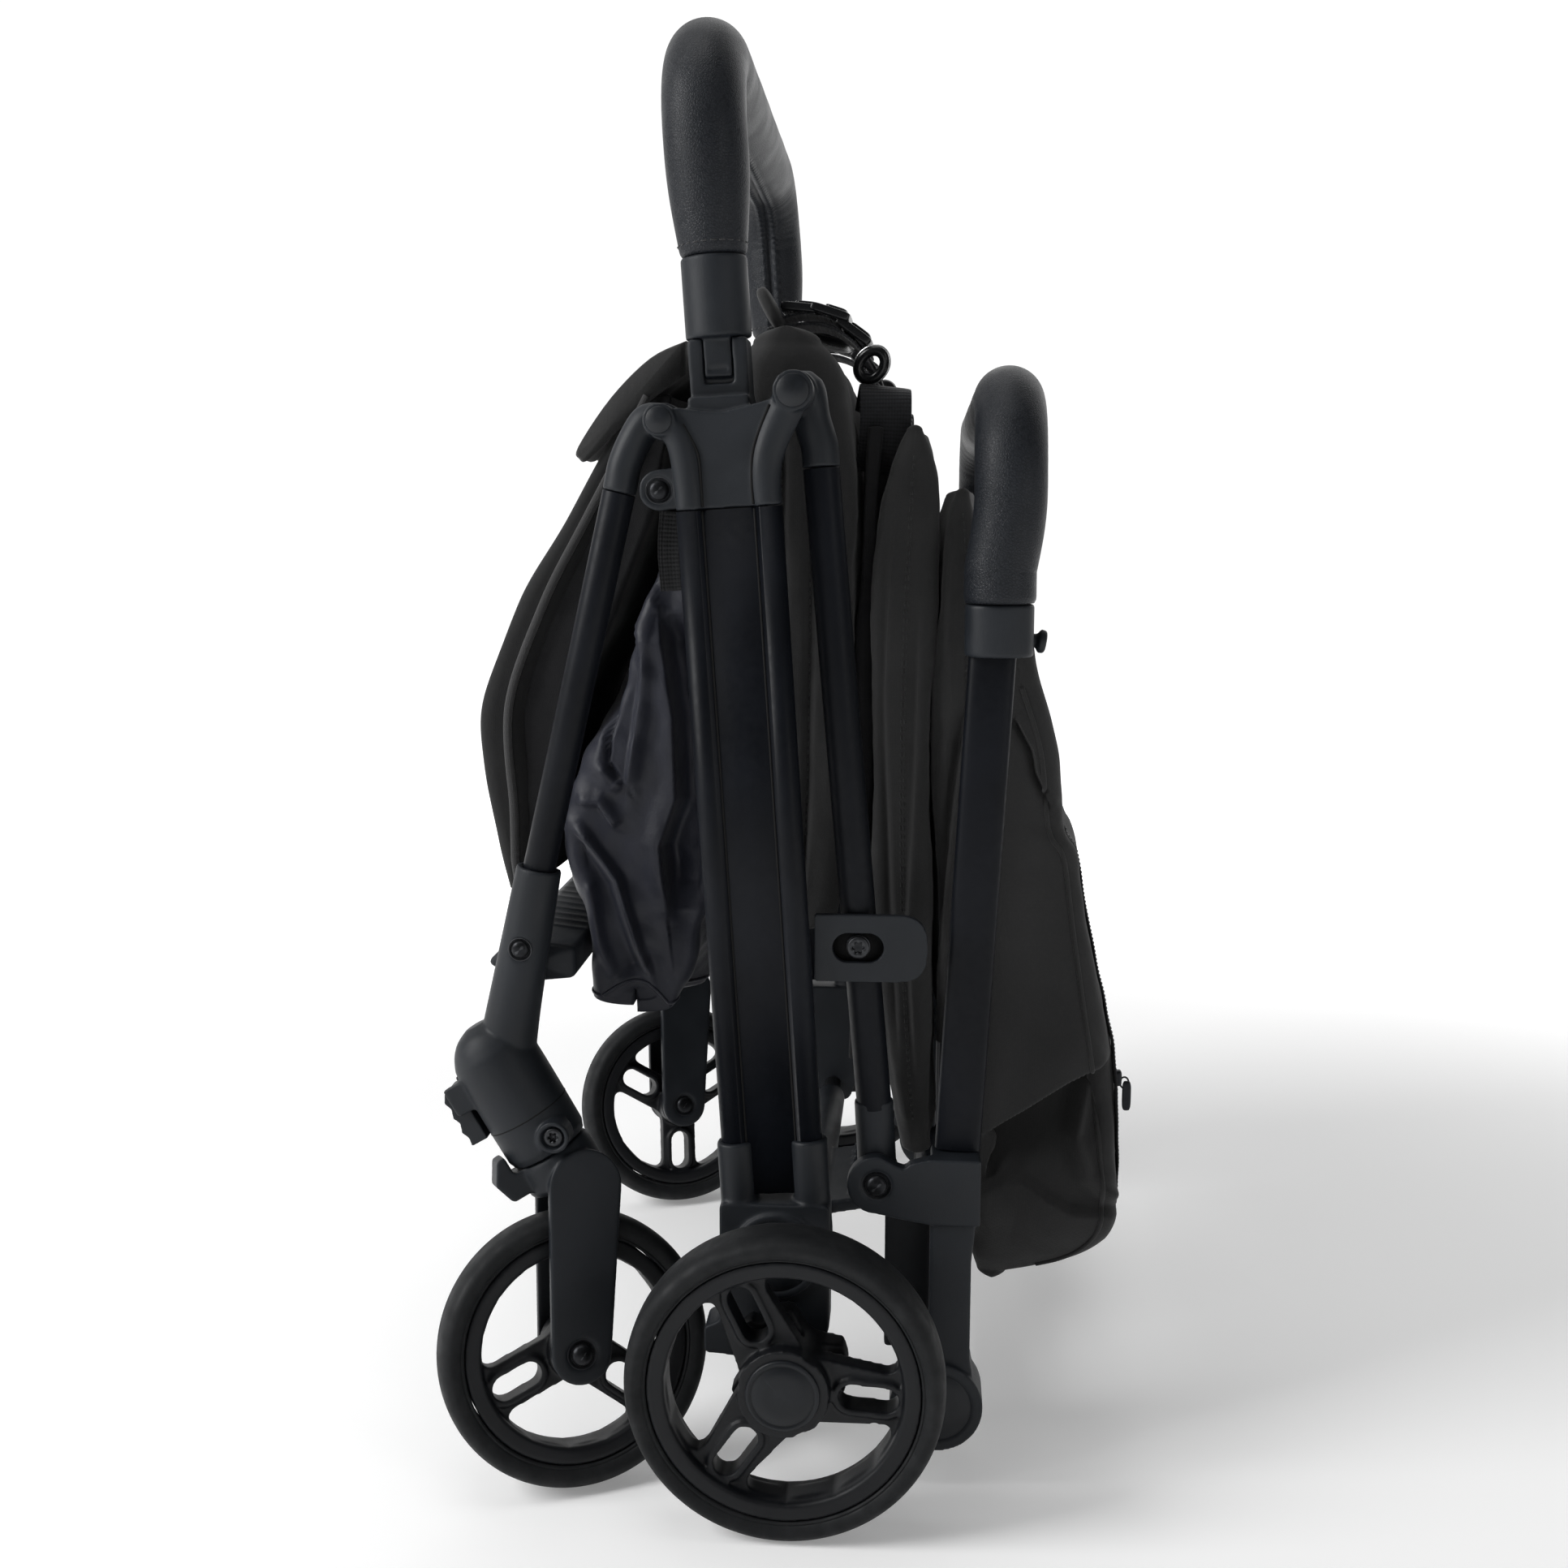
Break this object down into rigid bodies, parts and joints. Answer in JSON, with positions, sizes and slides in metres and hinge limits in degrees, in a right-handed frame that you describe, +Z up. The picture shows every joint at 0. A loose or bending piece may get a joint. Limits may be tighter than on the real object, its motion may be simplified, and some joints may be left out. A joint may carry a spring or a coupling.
{
  "type": "folding stroller",
  "caption": "Compact stroller, folded and standing on its wheels: tube frame, swivel castors, padded carry bar and push grip, folded seat, canopy and basket, and a rear pocket.",
  "frame": {"origin": "on the floor, under the middle of the folded stroller's box", "axes": "+Z up, +X to the stroller's left, -Y to its front; rest is the folded, standing state"},
  "size_m": [0.5212, 0.3458, 0.7238],
  "materials": {
    "frame_tube": "satin",
    "moulding": "matte",
    "rim": "satin",
    "hub_cap": "satin",
    "tyre": "matte",
    "bolt": "gloss",
    "button": "satin",
    "leatherette": "satin",
    "fabric": "matte",
    "basket_fabric": "satin",
    "webbing": "matte",
    "buckle": "satin"
  },
  "bodies": {
    "rear_frame": {"basket": "basket_fabric", "harness_buckle": "buckle", "harness_webbing": "webbing", "head_L": "moulding", "head_R": "moulding", "rear_axle_tube": "bolt", "rear_foot_L": "moulding", "rear_foot_R": "moulding", "rear_leg_L": "frame_tube", "rear_leg_R": "frame_tube", "seat_pad": "fabric"},
    "brake": {"brake_pedal": "moulding"},
    "bumper": {"bumper_collar_L": "moulding", "bumper_collar_R": "moulding", "bumper_grip": "leatherette"},
    "castor_L": {"castor_fork_L": "moulding", "front_axle_bolt_L": "bolt"},
    "castor_R": {"castor_fork_R": "moulding", "front_axle_bolt_R": "bolt"},
    "front_frame": {"castor_housing_L": "moulding", "castor_housing_R": "moulding", "footrest": "moulding", "front_drape": "fabric", "front_elbow_L": "moulding", "front_elbow_R": "moulding", "front_tube_L": "frame_tube", "front_tube_R": "frame_tube"},
    "front_wheel_L": {"front_rim_L": "rim", "front_tyre_L": "tyre"},
    "front_wheel_R": {"front_rim_R": "rim", "front_tyre_R": "tyre"},
    "handle_frame": {"back_pocket": "fabric", "handle_bar_L": "frame_tube", "handle_bar_R": "frame_tube", "handle_bracket_L": "moulding", "handle_bracket_R": "moulding", "handle_collar_L": "moulding", "handle_collar_R": "moulding", "handle_cross_bar": "frame_tube", "handle_grip": "leatherette", "mid_pivot_bolt_L": "bolt", "mid_pivot_bolt_R": "bolt"},
    "latch": {"latch_plate": "moulding"},
    "link_frame": {"canopy": "fabric", "latch_screw": "bolt", "link_elbow_L": "moulding", "link_elbow_R": "moulding", "link_sleeve_L": "moulding", "link_sleeve_R": "moulding", "link_tube_L": "frame_tube", "link_tube_R": "frame_tube"},
    "lock_L": {"swivel_lock_L": "moulding"},
    "lock_R": {"swivel_lock_R": "moulding"},
    "rear_wheel_L": {"rear_hub_cap_L": "hub_cap", "rear_rim_L": "rim", "rear_tyre_L": "tyre"},
    "rear_wheel_R": {"rear_hub_cap_R": "hub_cap", "rear_rim_R": "rim", "rear_tyre_R": "tyre"},
    "release": {"release_button": "button"}
  },
  "joints": [
    {"name": "link_fold", "type": "hinge", "parent": "rear_frame", "child": "link_frame", "pos_m": [0, 0.0073, 0.543], "axis": [1, 0, 0], "range_deg": [0, 103.5], "deforming": ["canopy", "basket"]},
    {"name": "front_leg_fold", "type": "hinge", "parent": "rear_frame", "child": "front_frame", "pos_m": [0, -0.055, 0.53], "axis": [1, 0, 0], "range_deg": [-58.1, 0], "deforming": ["front_drape"]},
    {"name": "handle_fold", "type": "hinge", "parent": "link_frame", "child": "handle_frame", "pos_m": [0, 0.0489, 0.158], "axis": [1, 0, 0], "range_deg": [-165.6, 0]},
    {"name": "castor_swivel_L", "type": "hinge", "parent": "front_frame", "child": "castor_L", "pos_m": [0.18265, -0.11905, 0.16663], "axis": [0, -0.5, 0.866], "range_deg": [-140, 32], "stiffness_Nm_per_rad": 2},
    {"name": "front_wheel_spin_L", "type": "hinge", "parent": "castor_L", "child": "front_wheel_L", "pos_m": [0.20114, -0.10459, 0.0684], "axis": [0.8926, 0.3905, 0.2254], "continuous": true},
    {"name": "rear_wheel_spin_L", "type": "hinge", "parent": "rear_frame", "child": "rear_wheel_L", "pos_m": [0.246, 0.007, 0.077], "axis": [1, 0, 0], "continuous": true},
    {"name": "swivel_lock_L", "type": "hinge", "parent": "front_frame", "child": "lock_L", "pos_m": [0.18265, -0.16514, 0.19626], "axis": [1, 0, 0], "range_deg": [-20, 0]},
    {"name": "castor_swivel_R", "type": "hinge", "parent": "front_frame", "child": "castor_R", "pos_m": [-0.18265, -0.11905, 0.16663], "axis": [0, -0.5, 0.866], "range_deg": [-85, 85], "stiffness_Nm_per_rad": 2},
    {"name": "front_wheel_spin_R", "type": "hinge", "parent": "castor_R", "child": "front_wheel_R", "pos_m": [-0.16416, -0.10459, 0.0684], "axis": [0.8926, 0.3905, 0.2254], "continuous": true},
    {"name": "rear_wheel_spin_R", "type": "hinge", "parent": "rear_frame", "child": "rear_wheel_R", "pos_m": [-0.246, 0.007, 0.077], "axis": [1, 0, 0], "continuous": true},
    {"name": "swivel_lock_R", "type": "hinge", "parent": "front_frame", "child": "lock_R", "pos_m": [-0.18265, -0.16514, 0.19626], "axis": [1, 0, 0], "range_deg": [-20, 0]},
    {"name": "brake_pedal_turn", "type": "hinge", "parent": "rear_frame", "child": "brake", "pos_m": [0, 0.007, 0.077], "axis": [1, 0, 0], "range_deg": [-18, 0]},
    {"name": "latch_slide", "type": "slide", "parent": "link_frame", "child": "latch", "axis": [0, 1, 0], "range_m": [0, 0.0055], "stiffness_N_per_m": 200},
    {"name": "release_button_press", "type": "slide", "parent": "handle_frame", "child": "release", "axis": [0, 0, -1], "range_m": [0, 0.003], "stiffness_N_per_m": 300, "springref_m": -0.001},
    {"name": "bumper_lift", "type": "slide", "parent": "rear_frame", "child": "bumper", "axis": [0, -0.0639, 0.998], "range_m": [0, 0.03]}
  ],
  "couplings": [
    {"joint": "front_leg_fold", "follows": "link_fold", "ratio": -0.5604},
    {"joint": "handle_fold", "follows": "link_fold", "ratio": -1.599}
  ]
}
